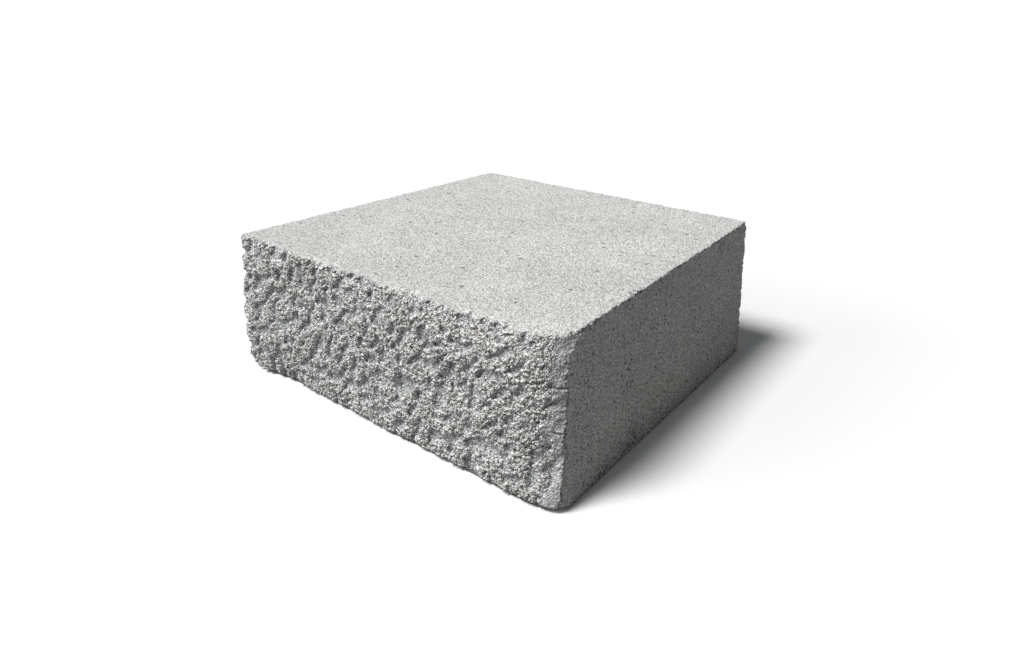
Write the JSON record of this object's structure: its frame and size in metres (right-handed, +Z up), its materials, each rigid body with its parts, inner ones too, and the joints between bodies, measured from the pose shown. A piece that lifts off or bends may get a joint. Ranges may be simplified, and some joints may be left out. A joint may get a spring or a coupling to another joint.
{
  "type": "retaining wall block",
  "caption": "Solid concrete retaining wall block with flat bed and top, sides that taper toward the rear, and a rough split front face.",
  "frame": {"origin": "on the bed plane, under the middle of the block's overall width and depth", "axes": "+Z up from the bed to the top, +X across the split face, +Y from the split face toward the rear face"},
  "size_m": [0.3987, 0.352, 0.142],
  "materials": {
    "concrete": "matte"
  },
  "bodies": {
    "root": {"wall_block": "concrete"}
  },
  "joints": []
}
